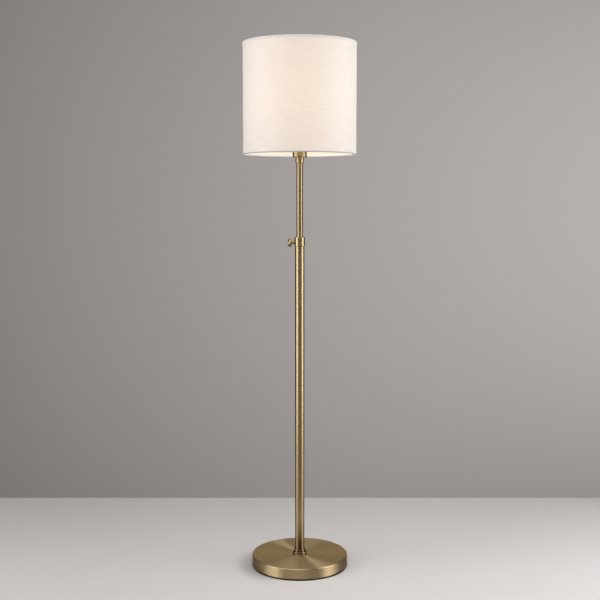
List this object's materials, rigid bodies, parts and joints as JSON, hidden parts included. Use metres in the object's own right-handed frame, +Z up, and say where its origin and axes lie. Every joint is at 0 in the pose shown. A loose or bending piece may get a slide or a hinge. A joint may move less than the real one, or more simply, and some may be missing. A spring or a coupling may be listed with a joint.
{
  "type": "telescopic floor lamp",
  "caption": "Floor lamp with a weighted disc base, a two-part brass pole that slides and locks with a thumb screw, and a lit drum shade on a screwed lamp holder.",
  "frame": {"origin": "centre of the round face that rests on the floor", "axes": "+Z up along the pole; the thumb screw points to -X; the cord inlet and the shade's seam face +Y, the back"},
  "size_m": [0.3012, 0.3012, 1.4085],
  "materials": {
    "antique_brass": "aged brass, finely brushed and lacquered",
    "cast_iron": "raw grey casting",
    "felt": "dense black felt",
    "zinc_steel": "zinc-plated, slightly dull",
    "nylon": "natural nylon",
    "black_plastic": "black plastic, fine satin",
    "porcelain": "glazed white ceramic",
    "linen": "off-white slub linen",
    "hem_tape": "folded cotton tape, a little cooler than the linen",
    "shade_lining": "stiff white laminated lining",
    "white_enamel": "white powder coat",
    "opal": "opal diffuser, lit warm white"
  },
  "bodies": {
    "root": {"base_pad": "felt", "base_cover": "antique_brass", "base_weight": "cast_iron", "cord_inlet_bush": "black_plastic", "terminal_block": "nylon", "base_washer": "zinc_steel", "base_nut": "zinc_steel", "base_nipple": "zinc_steel", "foot_ring": "antique_brass", "pole_plug": "zinc_steel", "lower_pole": "antique_brass", "clamp_collar": "antique_brass", "guide_bush": "nylon", "lead_in_base": "black_plastic", "lead_coil": "black_plastic"},
    "clamp_pad": {"clamp_pad": "nylon"},
    "clamp_screw": {"clamp_stud": "antique_brass", "clamp_knob": "antique_brass"},
    "slider": {"slider_bush": "nylon"},
    "upper": {"sliding_tube": "antique_brass", "tube_ferrule": "antique_brass", "holder_nipple": "zinc_steel", "holder_cup": "antique_brass", "holder_core": "porcelain", "holder_terminals": "antique_brass", "holder_screw_shell": "zinc_steel", "holder_contact": "antique_brass", "holder_barrel": "antique_brass", "shade_seat_ring": "antique_brass", "shade_clamp_ring": "antique_brass", "bulb_globe": "opal", "bulb_housing": "opal", "bulb_cap": "zinc_steel", "bulb_insulator": "black_plastic", "bulb_tip_contact": "zinc_steel", "shade_frame": "white_enamel", "shade_top_wire": "white_enamel", "shade_lining": "shade_lining", "shade_linen": "linen", "shade_top_hem": "hem_tape", "shade_bottom_hem": "hem_tape", "lead_in_tube": "black_plastic"}
  },
  "joints": [
    {"name": "pole_slide", "type": "slide", "parent": "root", "child": "slider", "axis": [0, 0, 1], "range_m": [-0.1965, 0.1495], "deforming": ["lead_coil"]},
    {"name": "pole_turn", "type": "hinge", "parent": "slider", "child": "upper", "pos_m": [0, 0, 0.68], "axis": [0, 0, 1], "range_deg": [-180, 180]},
    {"name": "clamp_travel", "type": "slide", "parent": "root", "child": "clamp_pad", "axis": [-1, 0, 0], "range_m": [0, 0.002]},
    {"name": "clamp_turn", "type": "hinge", "parent": "clamp_pad", "child": "clamp_screw", "pos_m": [-0.02, 0, 0.8845], "axis": [-1, 0, 0], "range_deg": [0, 720]}
  ],
  "couplings": [
    {"joint": "clamp_travel", "follows": "clamp_turn", "m_per_rad": 0.00015915}
  ]
}
